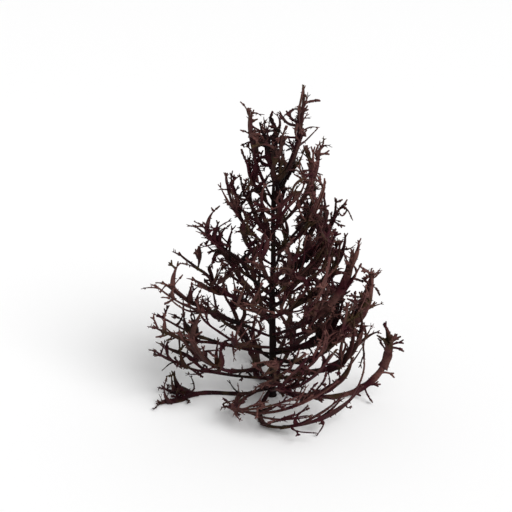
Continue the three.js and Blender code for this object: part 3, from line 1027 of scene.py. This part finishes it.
def horn_material(name, colours):
    """Dry horn: dark and mottled, browner towards the tips, finely pitted."""
    material = bpy.data.materials.new(name)
    material.use_nodes = True
    nodes, links = material.node_tree.nodes, material.node_tree.links
    shader = nodes["Principled BSDF"]
    place = nodes.new("ShaderNodeTexCoord").outputs["Object"]
    age_and_shade = nodes.new("ShaderNodeAttribute")
    age_and_shade.attribute_name = "age_and_shade"
    # The attribute's low end gives near-black old horn and painted shade inside the colony
    by_age_and_shade = colour_ramp(nodes, zip(AGE_AND_SHADE_LEVELS, (colours["old_and_shaded"], colours["young"])))
    links.new(age_and_shade.outputs["Fac"], by_age_and_shade.inputs["Fac"])
    patches = colour_ramp(nodes, zip(PATCH_LEVELS, (BLACK, WHITE)))
    links.new(noise(nodes, links, place, PATCH_SCALE, 2), patches.inputs["Fac"])
    tinted = mixed(nodes, links, "MIX", patches.outputs["Color"], by_age_and_shade.outputs["Color"],
                   colours["plum"])
    greens = colour_ramp(nodes, zip(GREEN_LEVELS, (BLACK, WHITE)))
    links.new(noise(nodes, links, place, GREEN_SCALE, 1), greens.inputs["Fac"])
    tinted = mixed(nodes, links, "MIX", greens.outputs["Color"], tinted, colours["olive"])
    mottle = colour_ramp(nodes, MOTTLE)
    links.new(noise(nodes, links, place, MOTTLE_SCALE, 4), mottle.inputs["Fac"])
    final = mixed(nodes, links, "MULTIPLY", MOTTLE_SHARE, tinted, mottle.outputs["Color"])
    links.new(final, shader.inputs["Base Color"])
    rough = nodes.new("ShaderNodeMapRange")
    rough.inputs["To Min"].default_value, rough.inputs["To Max"].default_value = ROUGHNESS
    links.new(noise(nodes, links, place, ROUGH_SCALE, 3), rough.inputs["Value"])
    links.new(rough.outputs["Result"], shader.inputs["Roughness"])
    grain = nodes.new("ShaderNodeBump")
    grain.inputs["Strength"].default_value = GRAIN_STRENGTH
    grain.inputs["Distance"].default_value = GRAIN_DEPTH
    links.new(noise(nodes, links, place, GRAIN_SCALE, 5, 0.65), grain.inputs["Height"])
    links.new(grain.outputs["Normal"], shader.inputs["Normal"])
    shader.inputs["Specular IOR Level"].default_value = SHEEN
    return material


# ---- Stage ----

def floor_material():
    material = bpy.data.materials.new("pale_floor")
    material.use_nodes = True
    shader = material.node_tree.nodes["Principled BSDF"]
    shader.inputs["Base Color"].default_value = (*FLOOR_COLOUR, 1)
    shader.inputs["Roughness"].default_value = FLOOR_ROUGHNESS
    return material


def add_floor():
    size = FLOOR_HALF
    mesh = bpy.data.meshes.new("floor")
    corners = [(-size, -size, 0), (size, -size, 0), (size, size, 0), (-size, size, 0)]
    mesh.from_pydata(corners, [], [(0, 1, 2, 3)])
    mesh.materials.append(floor_material())
    floor = bpy.data.objects.new("floor", mesh)
    bpy.context.scene.collection.objects.link(floor)


def add_key_light():
    light = bpy.data.lights.new("key", "SUN")
    light.energy = KEY_STRENGTH
    light.angle = KEY_SPREAD * RAD
    holder = bpy.data.objects.new("key", light)
    holder.location = KEY_PLACE
    holder.rotation_euler = Vector(KEY_PLACE).to_track_quat("Z", "Y").to_euler()
    bpy.context.scene.collection.objects.link(holder)


def add_world():
    """Soft light from all round, and plain white behind the floor's far edge."""
    world = bpy.data.worlds.new("studio")
    world.use_nodes = True
    nodes, links = world.node_tree.nodes, world.node_tree.links
    background = nodes["Background"]
    background.inputs["Strength"].default_value = SKY_STRENGTH
    backdrop = nodes.new("ShaderNodeBackground")
    either = nodes.new("ShaderNodeMixShader")
    links.new(nodes.new("ShaderNodeLightPath").outputs["Is Camera Ray"], either.inputs["Fac"])
    links.new(background.outputs["Background"], either.inputs[1])
    links.new(backdrop.outputs["Background"], either.inputs[2])
    links.new(either.outputs["Shader"], nodes["World Output"].inputs["Surface"])
    for source in (background, backdrop):
        source.inputs["Color"].default_value = (1, 1, 1, 1)
    bpy.context.scene.world = world


def add_camera():
    camera = bpy.data.objects.new("camera", bpy.data.cameras.new("camera"))
    camera.data.lens = LENS
    camera.data.sensor_width = SENSOR
    camera.data.clip_end = FARTHEST
    back = CAMERA_DISTANCE * math.cos(CAMERA_ELEVATION)
    up = CAMERA_DISTANCE * math.sin(CAMERA_ELEVATION)
    camera.location = (CAMERA_AIM[0], CAMERA_AIM[1] - back, CAMERA_AIM[2] + up)
    camera.rotation_euler = (math.pi / 2 - CAMERA_ELEVATION, 0, 0)
    bpy.context.scene.collection.objects.link(camera)
    bpy.context.scene.camera = camera


# ---- The scene ----

def place_piece(piece, node):
    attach(piece, "root")
    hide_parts(node)


def main():
    add_camera()
    add_floor()
    add_world()
    add_key_light()
    bpy.context.scene.view_settings.view_transform = "Standard"

    stem_horn = horn_material("stem_horn", STEM_COLOURS)
    bough_horn = horn_material("bough_horn", BOUGH_COLOURS)
    place_piece(stem_piece("stem_growth", stem_horn), "stem")
    room = Room()
    number = 0
    for label, plans, seeds in (("outer", outer_plans(), OUTER_SEEDS),
                                ("inner", inner_plans(), INNER_SEEDS)):
        for i, plan in enumerate(plans):
            node = f"{label}_bough_{i + 1:02d}"
            straps = settle_bough(plan, seeds + i, room)
            piece = bough_piece(f"{node}_growth", straps, TWIG_SEEDS + number, bough_horn)
            place_piece(piece, node)
            number += 1


main()
